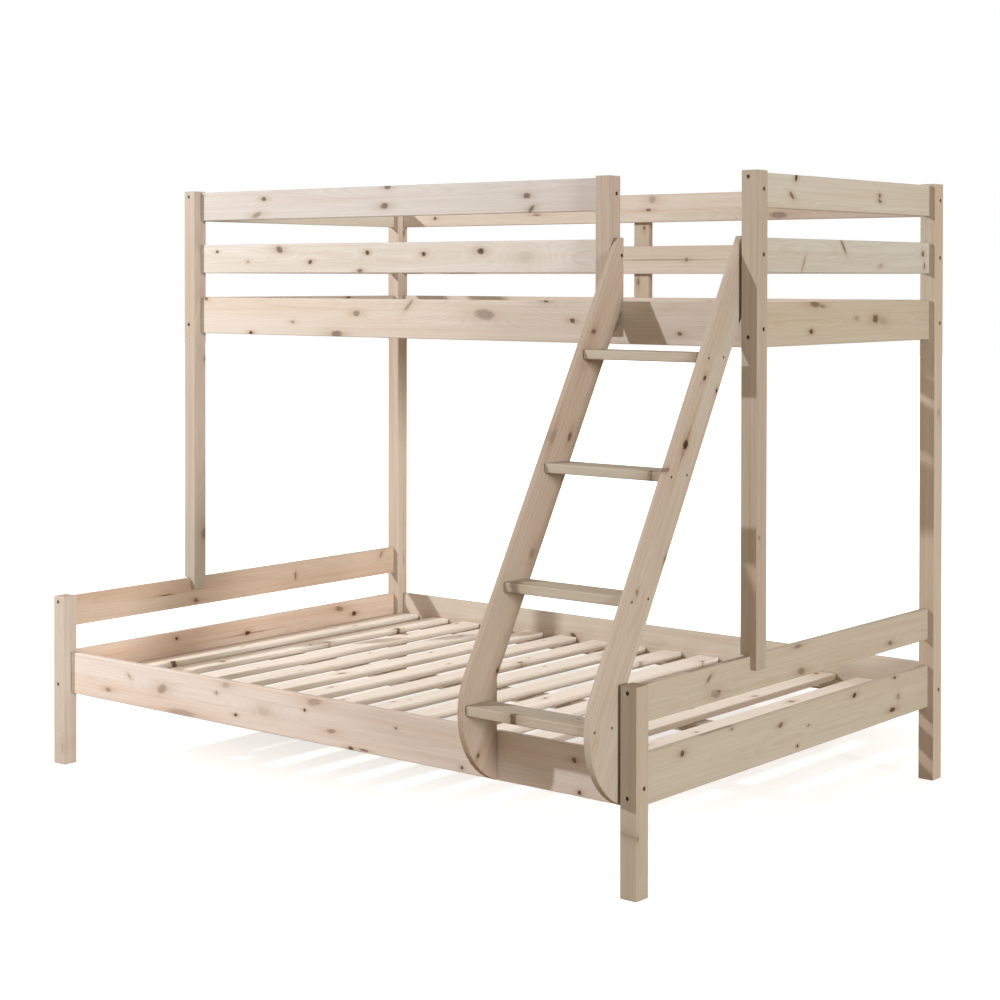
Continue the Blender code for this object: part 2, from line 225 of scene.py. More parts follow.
def new_material(name, roughness=0.5, metallic=0.0, specular=0.5):
    """A material, its tree, and its main shader with a few plain values set."""
    material = bpy.data.materials.new(name)
    material.use_nodes = True
    shader = material.node_tree.nodes["Principled BSDF"]
    shader.inputs["Roughness"].default_value = roughness
    shader.inputs["Metallic"].default_value = metallic
    shader.inputs["Specular IOR Level"].default_value = specular
    return material, Tree(material.node_tree), shader


# ---------------------------------------------------------------- pine

# Pale wood between the rings, the rings, the warmer heartwood, knots, their halos, and end grain
EARLY_WOOD = (0.81, 0.710, 0.585, 1.0)
LATE_WOOD = (0.62, 0.440, 0.290, 1.0)
HEART_WOOD = (0.74, 0.570, 0.425, 1.0)
KNOT_HEART = (0.055, 0.022, 0.008, 1.0)
KNOT_HALO = (0.42, 0.225, 0.090, 1.0)
END_GRAIN = (0.84, 0.77, 0.68, 1.0)


# A knot: where its core fades out, its inner rings, how far its halo and its push on the board's
# rings reach, and how much they are drawn out along the grain
KNOT_CORE_FADE = (1.30, 0.80)
KNOT_RING_TURNS = 11.0
KNOT_RING_DEPTH = 0.10
KNOT_DEPTH = 1.12
KNOT_DRAWN_OUT = 0.55
HALO_FALL = -0.36
HALO_BASE = 0.25
HALO_BY_STRENGTH = 0.6
PUSH_FALL = -0.16
PUSH_SIZE = 1.5


def make_knot_group():
    """One knot: a dark core with rings of its own, a brown halo drawn out along the grain, and the
    push that bends the board's rings round it. The darkest of all knots so far is handed on."""
    group, tree, given, result = new_group(
        "knot",
        [("Along", "Float", 0.0), ("Across", "Float", 0.0), ("Centre Along", "Float", 0.0),
         ("Centre Across", "Float", 0.0), ("Long", "Float", 0.006), ("Short", "Float", 0.005),
         ("Slant", "Float", 0.0), ("Strength", "Float", 1.0), ("Wobble", "Float", 0.0),
         ("Dark", "Float", 0.0), ("Halo", "Float", 0.0), ("Push", "Float", 0.0)],
        [("Dark", "Float"), ("Halo", "Float"), ("Push", "Float")])
    across = tree.math("SUBTRACT", given["Across"], given["Centre Across"])
    along = tree.math("SUBTRACT", given["Along"], given["Centre Along"])
    along = tree.math("SUBTRACT", along, tree.math("MULTIPLY", across, given["Slant"]))
    u = tree.math("DIVIDE", along, given["Long"])
    v = tree.math("DIVIDE", across, given["Short"])
    reach = tree.math("ADD", tree.math("SQRT", tree.squares(u, v)), given["Wobble"])
    core = tree.ramp(reach, *KNOT_CORE_FADE)
    waves = tree.math("COSINE", tree.math("MULTIPLY", reach, KNOT_RING_TURNS))
    rings = tree.math("MULTIPLY_ADD", waves, KNOT_RING_DEPTH, 1.0 - KNOT_RING_DEPTH)
    dark = tree.math("MULTIPLY", tree.math("MULTIPLY", core, rings), given["Strength"])
    dark = tree.math("MULTIPLY", dark, KNOT_DEPTH, clamp=True)
    stretched = tree.squares(tree.math("MULTIPLY", u, KNOT_DRAWN_OUT), v)
    halo = tree.math("EXPONENT", tree.math("MULTIPLY", stretched, HALO_FALL))
    depth = tree.math("MULTIPLY_ADD", given["Strength"], HALO_BY_STRENGTH, HALO_BASE)
    halo = tree.math("MULTIPLY", halo, depth)
    push = tree.math("EXPONENT", tree.math("MULTIPLY", stretched, PUSH_FALL))
    push = tree.math("MULTIPLY", push, tree.math("MULTIPLY", given["Short"], PUSH_SIZE))
    tree.feed(result["Dark"], tree.math("MAXIMUM", dark, given["Dark"]))
    tree.feed(result["Halo"], tree.math("MAXIMUM", halo, given["Halo"]))
    tree.feed(result["Push"], tree.math("ADD", push, given["Push"]))
    return group


# Noises in the wood, as (scale along the grain, scale across it, detail, roughness)
SWAY = (1.3, 4.0, 2.0, 0.5)
RIPPLE = (9.0, 40.0, 2.0, 0.5)
BROAD_TONE = (0.9, 14.0, 3.0, 0.5)
BAND_TONE = (1.1, 75.0, 2.0, 0.5)
STREAK = (3.0, 150.0, 3.0, 0.6)
FIBRE = (28.0, 1600.0, 3.0, 0.65)
FLECK = (55.0, 700.0, 1.0, 0.5)
# How far the sway and the ripple move a ring
SWAY_REACH = 0.050
RIPPLE_REACH = 0.0030
# Ramps, as (where it starts, where it ends, value at the start, value at the end), where the values
# are 0 and 1 if they are left out. A ring is pale, darkens up to its late wood and ends there, and
# some years' late wood is fainter than others'.
LATE_RISE = (0.30, 0.90)
LATE_END = (1.0, 0.90)
YEAR_NOISE_SCALE = 3.7
YEAR_DEPTH = (0.25, 0.75, 0.30, 1.0)
BAND_WARMTH = (0.46, 0.74, 0.0, 0.9)
BROAD_WARMTH = (0.38, 0.66, 0.0, 0.8)
STREAK_SHADE = (0.30, 0.72, 0.945, 1.03)
FIBRE_SHADE = (0.3, 0.7, -0.035, 0.03)
FLECK_CUT = (0.70, 0.80)
FIBRE_ROUGHNESS = (0.3, 0.7, 0.68, 0.56)
# What end grain and knots add to the roughness
END_ROUGHNESS = 0.12
KNOT_ROUGHNESS = -0.14
# Shares of the late wood, the flecks, the halos and the end grain in the colour
LATE_SHARE = 0.25
FLECK_SHARE = 0.25
HALO_SHARE = 0.72
END_SHARE = 0.9
# Shares of the fibres and the late wood in the height of the surface
FIBRE_HEIGHT = 0.5
LATE_HEIGHT = 0.7


def make_pine_group():
    """Planed pine as a solid: rings round a pith that lies beside the board, fibres, and broad tone."""
    group, tree, given, result = new_group(
        "pine",
        [("Place", "Vector", (0.0, 0.0, 0.0)), ("Shift", "Vector", (0.0, 0.0, 0.0)),
         ("Pith Across", "Float", 0.06), ("Pith Through", "Float", 0.03), ("Ring Width", "Float", 0.004),
         ("Heart", "Float", 0.3), ("Dark", "Float", 0.0), ("Halo", "Float", 0.0), ("Push", "Float", 0.0),
         ("Facing", "Float", 0.0)],
        [("Color", "Color"), ("Roughness", "Float"), ("Height", "Float")])
    _, across, through = tree.split(given["Place"])
    shifted = tree.vector("ADD", given["Place"], given["Shift"])

    def stretched_noise(lengthwise, crosswise, detail, roughness):
        scaled = tree.vector("MULTIPLY", shifted, (lengthwise, crosswise, crosswise))
        return tree.noise(scaled, detail=detail, roughness=roughness)

    def centred(value, reach):
        return tree.math("MULTIPLY", tree.math("SUBTRACT", value, 0.5), reach)

    sway = centred(stretched_noise(*SWAY), SWAY_REACH)
    ripple = centred(stretched_noise(*RIPPLE), RIPPLE_REACH)
    side = tree.math("SUBTRACT", across, given["Pith Across"])
    deep = tree.math("SUBTRACT", through, given["Pith Through"])
    radius = tree.math("SQRT", tree.squares(side, deep))
    grown = tree.math("ADD", tree.math("ADD", radius, sway), tree.math("ADD", ripple, given["Push"]))
    turns = tree.math("DIVIDE", grown, given["Ring Width"])
    phase = tree.math("FRACT", turns)
    late = tree.math("MULTIPLY", tree.ramp(phase, *LATE_RISE), tree.ramp(phase, *LATE_END))
    years = tree.noise(tree.join(tree.math("FLOOR", turns), 0.0, 0.0), YEAR_NOISE_SCALE, 0.0)
    late = tree.math("MULTIPLY", late, tree.ramp(years, *YEAR_DEPTH))

    broad = stretched_noise(*BROAD_TONE)
    band = stretched_noise(*BAND_TONE)
    streak = stretched_noise(*STREAK)
    fibre = stretched_noise(*FIBRE)
    fleck = tree.ramp(stretched_noise(*FLECK), *FLECK_CUT)

    warm = tree.math("ADD", tree.ramp(band, *BAND_WARMTH), tree.ramp(broad, *BROAD_WARMTH))
    heart = tree.math("MULTIPLY", warm, given["Heart"], clamp=True)
    colour = tree.mix(heart, EARLY_WOOD, HEART_WOOD)
    colour = tree.mix(tree.math("MULTIPLY", late, LATE_SHARE), colour, LATE_WOOD)
    shade = tree.math("ADD", tree.ramp(streak, *STREAK_SHADE), tree.ramp(fibre, *FIBRE_SHADE))
    colour = tree.mix(1.0, colour, tree.grey(shade), "MULTIPLY")
    colour = tree.mix(tree.math("MULTIPLY", fleck, FLECK_SHARE), colour, LATE_WOOD)
    colour = tree.mix(tree.math("MULTIPLY", given["Halo"], HALO_SHARE), colour, KNOT_HALO)
    colour = tree.mix(given["Dark"], colour, KNOT_HEART)
    sawn = tree.mix(1.0, colour, END_GRAIN, "MULTIPLY")
    end_share = tree.math("MULTIPLY", given["Facing"], END_SHARE)
    tree.feed(result["Color"], tree.mix(end_share, colour, sawn))

    rough = tree.math("MULTIPLY_ADD", given["Facing"], END_ROUGHNESS, tree.ramp(fibre, *FIBRE_ROUGHNESS))
    tree.feed(result["Roughness"], tree.math("MULTIPLY_ADD", given["Dark"], KNOT_ROUGHNESS, rough))
    grooves = tree.math("MULTIPLY_ADD", fibre, FIBRE_HEIGHT, tree.math("MULTIPLY", late, LATE_HEIGHT))
    tree.feed(result["Height"], tree.math("SUBTRACT", grooves, given["Dark"]))
    return group


# Scattered knots: between which numbers of them to a metre, their radii along the grain, and between
# which values the rest lies. Their places are shares of the board's length and width.
KNOTS_PER_METRE = (1.6, 3.4)
KNOT_RADII = (0.003, 0.004, 0.005, 0.007, 0.010)
KNOT_PLACE_ALONG = (0.02, 0.98)
KNOT_PLACE_ACROSS = (0.03, 0.97)
KNOT_FLATTENING = (0.65, 0.95)
KNOT_DARKNESS = (0.35, 0.9)
KNOT_SLANT = (-0.8, 0.8)


class Board:
    """Where a piece lies, which way its grain runs, and seeded numbers that make its wood its own."""

    def __init__(self, name, low, high):
        self.name = name
        self.random = random.Random(name)
        centre = (low + high) / 2
        if name.startswith("ladder_stile"):
            self.along = Vector((0.0, math.sin(LADDER_LEAN), math.cos(LADDER_LEAN)))
            self.across = Vector((0.0, math.cos(LADDER_LEAN), -math.sin(LADDER_LEAN)))
            self.through = Vector((1.0, 0.0, 0.0))
            self.length, self.width = STILE_LENGTH, STILE_WIDTH
        else:
            size = high - low
            order = sorted(range(3), key=lambda i: -size[i])
            axes = [Vector([float(i == k) for i in range(3)]) for k in order]
            self.along, self.across, self.through = axes
            self.length, self.width = size[order[0]], size[order[1]]
        self.corner = centre - self.along * self.length / 2 - self.across * self.width / 2

    def mapping(self):
        """Rotation and location that turn the model's coordinates into the board's own."""
        turn = Matrix((self.along, self.across, self.through))
        if turn.determinant() < 0:
            turn = Matrix((self.along, self.across, -self.through))
        return turn.to_euler("XYZ"), -(turn @ self.corner)

    def scattered_knots(self):
        """About two or three knots to a metre, mostly small, for a board that has none of its own."""
        pick = self.random
        knots = []
        for _ in range(max(1, round(self.length * pick.uniform(*KNOTS_PER_METRE)))):
            long = pick.choice(KNOT_RADII)
            along = pick.uniform(*KNOT_PLACE_ALONG) * self.length
            across = pick.uniform(*KNOT_PLACE_ACROSS) * self.width
            short = long * pick.uniform(*KNOT_FLATTENING)
            knots.append((along, across, long, short, pick.uniform(*KNOT_DARKNESS),
                          pick.uniform(*KNOT_SLANT)))
        return knots


# Knots of the boards that are seen most, each one as (along, across, radius along the grain, radius
# across it, darkness, slant). The first two start at the board's low end and low edge on the frame's
# axes.
KNOTS = {
    "guard_top_board": (
        (0.282, 0.062, 0.009, 0.006, 0.75, 0.0), (0.252, 0.014, 0.014, 0.009, 0.45, 1.2),
        (0.785, 0.084, 0.010, 0.006, 0.70, 0.0), (0.780, 0.030, 0.013, 0.008, 0.70, 0.2),
        (1.302, 0.046, 0.011, 0.007, 0.75, 0.0), (1.312, 0.010, 0.008, 0.009, 0.70, 0.8)),
    "guard_middle_board": (
        (0.073, 0.066, 0.005, 0.004, 0.90, 0.0), (0.214, 0.035, 0.005, 0.004, 0.35, 0.0),
        (0.350, 0.071, 0.012, 0.010, 0.70, -0.4), (0.479, 0.033, 0.007, 0.006, 0.90, 0.3),
        (0.709, 0.059, 0.007, 0.006, 1.00, 0.0), (0.677, 0.007, 0.009, 0.005, 0.65, 0.3),
        (0.931, 0.054, 0.007, 0.006, 0.95, 0.0), (1.136, 0.060, 0.011, 0.008, 0.95, 0.0),
        (1.297, 0.042, 0.022, 0.016, 0.10, 0.0)),
    "upper_front_deep_rail": (
        (0.024, 0.108, 0.006, 0.006, 0.75, 0.0), (0.225, 0.005, 0.007, 0.005, 1.00, 0.0),
        (0.402, 0.040, 0.007, 0.004, 0.45, 0.0), (0.667, 0.069, 0.013, 0.008, 0.50, 0.0),
        (0.584, 0.007, 0.020, 0.009, 0.60, 0.0), (0.868, 0.094, 0.006, 0.016, 0.40, 0.9),
        (1.152, 0.072, 0.032, 0.014, 0.42, -0.4), (1.367, 0.112, 0.009, 0.005, 0.90, 0.0),
        (1.459, 0.059, 0.008, 0.006, 0.85, -0.3), (1.800, 0.030, 0.006, 0.005, 0.70, 0.0)),
    "lower_front_rail": (
        (0.170, 0.032, 0.012, 0.006, 0.45, 0.0), (0.262, 0.082, 0.005, 0.008, 0.30, -0.8),
        (0.402, 0.064, 0.016, 0.013, 0.42, 0.6), (0.482, 0.008, 0.050, 0.010, 0.30, 0.5),
        (0.624, 0.082, 0.005, 0.005, 0.45, 0.0), (0.657, 0.108, 0.012, 0.008, 0.25, 0.4),
        (0.700, 0.032, 0.006, 0.004, 0.85, 0.3), (0.812, 0.057, 0.020, 0.012, 0.14, 0.0),
        (0.963, 0.081, 0.004, 0.004, 0.90, 0.0), (0.997, 0.107, 0.022, 0.010, 0.32, 0.8),
        (1.057, 0.039, 0.013, 0.006, 0.40, 0.8), (1.128, 0.004, 0.008, 0.005, 0.85, 0.0),
        (1.175, 0.007, 0.013, 0.003, 0.65, 0.0), (1.282, 0.079, 0.003, 0.003, 0.70, 0.0),
        (1.505, 0.013, 0.004, 0.004, 0.80, 0.0), (1.847, 0.085, 0.006, 0.006, 0.75, 0.0),
        (1.865, 0.010, 0.005, 0.005, 0.85, 0.0)),
    "lower_end_rail_right": (
        (0.282, 0.061, 0.005, 0.009, 0.55, 1.0), (0.307, 0.019, 0.017, 0.011, 0.32, -0.5),
        (0.322, 0.023, 0.007, 0.003, 0.70, -0.5), (0.697, 0.081, 0.018, 0.005, 0.42, 0.4),
        (0.712, 0.014, 0.015, 0.009, 0.45, -0.6), (1.187, 0.021, 0.010, 0.006, 0.55, -0.4)),
    "lower_end_deep_rail_right": (
        (0.167, 0.093, 0.008, 0.007, 0.80, 0.0), (0.377, 0.114, 0.006, 0.003, 0.50, 0.0),
        (0.607, 0.085, 0.009, 0.006, 0.70, 0.6), (0.747, 0.061, 0.004, 0.003, 0.60, 0.0),
        (0.694, 0.017, 0.004, 0.004, 1.00, 0.0), (0.990, 0.101, 0.009, 0.006, 0.90, 0.4),
        (1.212, 0.114, 0.007, 0.003, 0.90, 0.0), (1.237, 0.059, 0.007, 0.008, 0.38, 0.0),
        (1.202, 0.027, 0.014, 0.006, 0.85, 0.0)),
    "upper_end_deep_rail_right": (
        (0.265, 0.106, 0.020, 0.008, 0.55, -0.6), (0.302, 0.100, 0.012, 0.004, 0.45, -1.6),
        (0.240, 0.035, 0.008, 0.006, 0.85, 0.0), (0.587, 0.063, 0.014, 0.010, 0.72, 0.0),
        (0.628, 0.058, 0.022, 0.012, 0.14, -0.5), (0.480, 0.066, 0.009, 0.006, 0.25, 0.0)),
    "upper_end_middle_board_right": (
        (0.406, 0.071, 0.004, 0.018, 0.65, -0.75), (0.205, 0.022, 0.003, 0.019, 0.35, 0.45),
        (0.860, 0.056, 0.005, 0.008, 0.80, 0.0), (0.870, 0.022, 0.004, 0.009, 0.55, 0.0),
        (0.612, 0.020, 0.007, 0.006, 0.25, 0.6)),
    "upper_end_top_board_right": (
        (0.164, 0.082, 0.005, 0.009, 1.00, 0.3), (0.147, 0.034, 0.007, 0.009, 0.65, -0.9),
        (0.608, 0.049, 0.006, 0.006, 0.65, 0.0), (0.610, 0.034, 0.008, 0.005, 0.65, -0.5)),
    "rear_top_board": (
        (0.150, 0.028, 0.006, 0.005, 0.80, 0.0), (0.590, 0.032, 0.016, 0.004, 0.45, 0.0),
        (1.057, 0.072, 0.012, 0.011, 0.32, 0.0), (1.040, 0.039, 0.009, 0.004, 0.75, 0.0),
        (1.517, 0.014, 0.028, 0.009, 0.48, -0.3)),
    "rear_middle_board": (
        (1.187, 0.044, 0.007, 0.005, 0.55, 0.0), (1.100, 0.044, 0.140, 0.0012, 0.55, 0.0)),
    "upper_rear_deep_rail": (
        (1.087, 0.016, 0.015, 0.006, 0.85, 0.0), (1.262, 0.089, 0.009, 0.013, 0.28, 0.4),
        (0.420, 0.070, 0.007, 0.005, 0.80, 0.0)),
    "rear_batten": ((0.159, 0.017, 0.012, 0.006, 0.45, 0.0), (0.330, 0.040, 0.006, 0.005, 0.70, 0.0)),
    "lower_end_rail_left": (
        (0.362, 0.047, 0.028, 0.002, 0.65, 0.0), (0.482, 0.016, 0.008, 0.006, 0.60, -0.6),
        (0.929, 0.043, 0.003, 0.012, 0.65, 0.0), (1.347, 0.071, 0.005, 0.011, 0.35, 0.4)),
    "lower_end_deep_rail_left": (
        (0.405, 0.100, 0.005, 0.005, 0.90, 0.0), (0.709, 0.076, 0.010, 0.006, 1.00, 0.0),
        (0.715, 0.074, 0.070, 0.002, 0.45, 0.0), (1.132, 0.100, 0.017, 0.009, 0.50, -0.8),
        (1.209, 0.075, 0.011, 0.007, 0.95, 0.0)),
    "upper_front_post_left": (
        (0.165, 0.046, 0.016, 0.018, 0.42, 0.0), (0.715, 0.044, 0.008, 0.006, 0.45, 0.0)),
    "upper_front_post_right": ((0.330, 0.012, 0.004, 0.004, 0.40, 0.0),),
    "lower_front_post_left": ((0.060, 0.040, 0.010, 0.006, 0.12, 0.0),),
    "lower_front_post_right": ((0.150, 0.004, 0.006, 0.004, 0.30, 0.0),),
    "rear_post_left": ((0.450, 0.030, 0.010, 0.004, 0.20, 0.0), (1.590, 0.030, 0.012, 0.005, 0.60, 1.2)),
    "rear_post_right": ((1.050, 0.024, 0.010, 0.006, 0.20, 0.0),),
    "ladder_tread_1": ((0.147, 0.003, 0.009, 0.007, 0.70, 0.4), (0.290, 0.060, 0.005, 0.004, 0.50, 0.0)),
    "ladder_tread_2": ((0.034, 0.010, 0.016, 0.014, 0.55, 0.0),),
    "ladder_tread_3": ((0.325, 0.006, 0.012, 0.006, 0.80, 0.5),),
    "ladder_tread_4": ((0.350, 0.004, 0.008, 0.005, 0.75, 0.0),),
}

# A stile's knots by their place in the model: (Y from the upper posts' front, height, then as above)
STILE_KNOTS = {
    "ladder_stile_left": (
        (-0.200, 1.025, 0.012, 0.007, 0.60, 0.0), (-0.267, 1.030, 0.020, 0.008, 0.25, 0.0),
        # On the next line, the second spot is a faint brown patch where the top tread meets the stile.
        (-0.097, 1.292, 0.006, 0.009, 0.60, 0.4), (-0.127, 1.235, 0.012, 0.016, 0.28, 0.0),
        (-0.352, 0.748, 0.013, 0.009, 0.28, 0.0), (-0.487, 0.477, 0.006, 0.005, 0.80, 0.0),
        (-0.562, 0.280, 0.006, 0.005, 0.65, 0.0)),
    "ladder_stile_right": (
        (-0.152, 1.183, 0.006, 0.005, 0.90, 0.5), (-0.100, 1.150, 0.004, 0.004, 0.95, 0.0),
        (-0.234, 1.028, 0.012, 0.009, 1.00, 0.0), (-0.234, 1.028, 0.050, 0.004, 0.30, 0.0),
        (-0.309, 0.972, 0.005, 0.004, 0.55, 0.0), (-0.319, 0.765, 0.009, 0.004, 0.50, 0.0),
        (-0.435, 0.695, 0.007, 0.005, 0.45, 0.0)),
}


def stile_knots(board):
    """The stile's knots in its own coordinates."""
    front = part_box("upper_front_post_left")[0].y
    knots = []
    for y, z, *shape in STILE_KNOTS[board.name]:
        spot = Vector((0.0, front + y, z)) - board.corner
        spot.x = 0.0
        knots.append((spot.dot(board.along), spot.dot(board.across), *shape))
    return knots


def knots_of(board):
    """The board's own knots, or scattered ones."""
    if board.name in STILE_KNOTS:
        return stile_knots(board)
    return KNOTS.get(board.name) or board.scattered_knots()


# Each board's tint is partly the tone of its own wood and partly painted light. It makes a piece lighter
# or darker, and the slats much paler, in place of light that the lamps give it too little or too much
# of. Given as (start of its name, tint, how much warm heartwood shows); the first start that fits
# counts.
TONE_AND_LIGHT_TINTS = (
    ("lower_front_rail", (0.92, 0.97, 1.11), 0.45),
    ("upper_front_deep_rail", (0.78, 0.82, 0.90), 0.50),
    ("guard_top_board", (0.71, 0.79, 0.93), 0.35),
    ("guard_middle_board", (0.78, 0.87, 1.00), 0.45),
    ("guard_post", (0.56, 0.54, 0.55), 0.60),
    ("lower_slat", (1.20, 1.32, 1.50), 0.22),
    ("upper_slat", (1.20, 1.32, 1.50), 0.22),
    ("ladder_stile_left", (0.55, 0.53, 0.52), 0.60),
    ("ladder_stile_right", (0.62, 0.64, 0.66), 0.60),
    ("ladder_tread", (0.61, 0.65, 0.67), 0.50),
    ("lower_front_post_left", (0.70, 0.72, 0.78), 0.50),
    ("lower_front_post_right", (0.59, 0.61, 0.60), 0.55),
    ("upper_front_post_left", (0.59, 0.61, 0.64), 0.60),
    ("upper_front_post_right", (0.55, 0.55, 0.55), 0.60),
    ("rear_post_left", (0.68, 0.68, 0.70), 0.55),
    ("rear_post_right", (0.65, 0.66, 0.65), 0.55),
    ("rear_batten", (0.61, 0.59, 0.58), 0.55),
    ("lower_end_rail_left", (0.73, 0.68, 0.65), 0.60),
    ("lower_end_deep_rail_left", (0.90, 0.85, 0.86), 0.60),
    ("upper_end_top_board", (0.71, 0.77, 0.81), 0.40),
    ("upper_end_middle_board", (0.68, 0.76, 0.81), 0.40),
    ("upper_end_deep_rail_right", (0.65, 0.66, 0.63), 0.50),
    ("lower_end", (0.62, 0.65, 0.64), 0.45),
)
USUAL_TINT = (0.74, 0.77, 0.82)
USUAL_HEART = 0.50


def tone_and_light_tint_of(name):
    """The tint of a piece, partly its wood's tone and partly painted light, and how much warm heartwood
    it shows.
    """
    for start, tint, heart in TONE_AND_LIGHT_TINTS:
        if name.startswith(start):
            return tint, heart
    return USUAL_TINT, USUAL_HEART


# Which way a face looks for its end grain to show: the cosine to the grain, from none to all
END_FACING = (0.75, 0.98)
KNOT_EDGE_SCALE = 260.0
KNOT_EDGE_WOBBLE = 1.5
GRAIN_BUMP = {"Strength": 0.25, "Distance": 0.0004}
# Between which values each board draws its lightness, the lean of its knots through it, its place in
# the noises, its pith's distance from its middle, across and through, and the width of its rings
BOARD_LIGHTNESS = (0.98, 1.02)
KNOT_LEAN = (-0.35, 0.35)
NOISE_SHIFT = (-50.0, 50.0)
PITH_ACROSS = (-0.05, 0.05)
PITH_THROUGH = (0.02, 0.09)
RING_WIDTH = (0.0028, 0.0048)


def pine_material(board, groups):
    """A pine material whose rings, tone and knots belong to this one piece, and whose tint is partly
    painted light.
    """
    pick = board.random
    tint, heart = tone_and_light_tint_of(board.name)
    light = pick.uniform(*BOARD_LIGHTNESS)
    material, tree, shader = new_material(f"pine_{board.name}", specular=0.35)

    turn, shift = board.mapping()
    spot = tree.add("ShaderNodeTexCoord")
    mapped = tree.add("ShaderNodeMapping", {"Vector": spot.outputs["Object"], "Location": shift,
                                            "Rotation": turn})
    place = mapped.outputs["Vector"]
    along, across, through = tree.split(place)
    edge = tree.math("SUBTRACT", tree.noise(place, KNOT_EDGE_SCALE, 3.0), 0.5)
    wobble = tree.math("MULTIPLY", edge, KNOT_EDGE_WOBBLE)
    state = {"Dark": 0.0, "Halo": 0.0, "Push": 0.0}
    for centre_along, centre_across, long, short, dark, slant in knots_of(board):
        leaned = tree.math("MULTIPLY_ADD", through, pick.uniform(*KNOT_LEAN), along)
        knot = tree.add("ShaderNodeGroup", node_tree=groups["knot"])
        values = {"Along": leaned, "Across": across, "Centre Along": centre_along,
                  "Centre Across": centre_across, "Long": long, "Short": short, "Slant": slant,
                  "Strength": dark, "Wobble": wobble, **state}
        for label, value in values.items():
            tree.feed(knot.inputs[label], value)
        state = {label: knot.outputs[label] for label in state}

    end_on = tree.vector("DOT_PRODUCT", spot.outputs["Normal"], tuple(board.along), output="Value")
    wood = tree.add("ShaderNodeGroup", node_tree=groups["pine"])
    values = {
        "Place": place,
        "Shift": tuple(pick.uniform(*NOISE_SHIFT) for _ in range(3)),
        "Pith Across": board.width / 2 + pick.uniform(*PITH_ACROSS),
        "Pith Through": pick.choice((-1, 1)) * pick.uniform(*PITH_THROUGH),
        "Ring Width": pick.uniform(*RING_WIDTH),
        "Heart": heart,
        "Facing": tree.ramp(tree.math("ABSOLUTE", end_on), *END_FACING),
        **state,
    }
    for label, value in values.items():
        tree.feed(wood.inputs[label], value)
    # The piece's tint, partly its wood's tone and partly painted light, times its random lightness
    shade = (*[light * share for share in tint], 1.0)
    tree.feed(shader.inputs["Base Color"], tree.mix(1.0, wood.outputs["Color"], shade, "MULTIPLY"))
    tree.feed(shader.inputs["Roughness"], wood.outputs["Roughness"])
    bump = tree.add("ShaderNodeBump", {"Height": wood.outputs["Height"], **GRAIN_BUMP})
    tree.feed(shader.inputs["Normal"], bump.outputs["Normal"])
    return material


# ---------------------------------------------------------------- boards

def round_edges(piece, width=EDGE_ROUNDING, weld=False):
    """Round the edges and shade the rest evenly."""
    if weld:
        join = piece.modifiers.new("weld", "WELD")
        join.merge_threshold = WELD_DISTANCE
    bevel = piece.modifiers.new("rounded_edges", "BEVEL")
    bevel.width = width
    bevel.segments = EDGE_STEPS
    bevel.limit_method = "ANGLE"
    bevel.angle_limit = SHARPEST_ROUNDED
    piece.modifiers.new("even_shading", "WEIGHTED_NORMAL")
    for face in piece.data.polygons:
        face.use_smooth = True


def finish_cad_boards(nodes, groups):
    """Give every CAD board its wood and its rounded edges. The slats' edges are rounder."""
    for name, piece in nodes.items():
        if name == "upper_slat_base":
            continue
        piece.data.materials.clear()
        piece.data.materials.append(pine_material(Board(name, *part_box(name)), groups))
        rounding = SLAT_EDGE if name.startswith("lower_slat") else EDGE_ROUNDING
        round_edges(piece, rounding, weld=True)


def add_piece(name, shape, material):
    """A new piece of the bed from a bmesh in the model's frame."""
    mesh = bpy.data.meshes.new(name)
    bmesh.ops.recalc_face_normals(shape, faces=shape.faces)
    shape.to_mesh(mesh)
    shape.free()
    mesh.materials.append(material)
    piece = bpy.data.objects.new(name, mesh)
    bpy.context.scene.collection.objects.link(piece)
    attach(piece, "root")
    return piece


def add_box(shape, low, high):
    """Add a box between two corners."""
    size = [b - a for a, b in zip(low, high)]
    middle = [(a + b) / 2 for a, b in zip(low, high)]
    made = bmesh.ops.create_cube(shape, size=1.0)
    bmesh.ops.scale(shape, vec=size, verts=made["verts"])
    bmesh.ops.translate(shape, vec=middle, verts=made["verts"])


# ---------------------------------------------------------------- upper slats and straps

def webbing_material():
    """Plain woven cotton strap."""
    material, tree, shader = new_material("strap_webbing", roughness=0.9, specular=0.2)
    spot = tree.add("ShaderNodeTexCoord").outputs["Object"]
    x, y, _ = tree.split(spot)
    warp = tree.math("SINE", tree.math("MULTIPLY", y, math.tau / THREAD_PITCH_Y))
    weft = tree.math("SINE", tree.math("MULTIPLY", x, math.tau / THREAD_PITCH_X))
    weave = tree.math("MULTIPLY", warp, weft)
    worn = tree.noise(spot, STRAP_WEAR_SCALE, 3.0)
    light = tree.math("MULTIPLY_ADD", weave, WEAVE_CONTRAST, tree.ramp(worn, *STRAP_WEAR))
    tint = tree.mix(1.0, STRAP_COLOUR, tree.grey(light), "MULTIPLY")
    tree.feed(shader.inputs["Base Color"], tint)
    bump = tree.add("ShaderNodeBump", {"Height": weave, **WEAVE_BUMP})
    tree.feed(shader.inputs["Normal"], bump.outputs["Normal"])
    return material


def slat_lefts():
    """The left edge of each upper slat: the lower slats lie at the same places."""
    return [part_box(f"lower_slat_{number:02d}")[0].x for number in range(1, SLAT_COUNT + 1)]


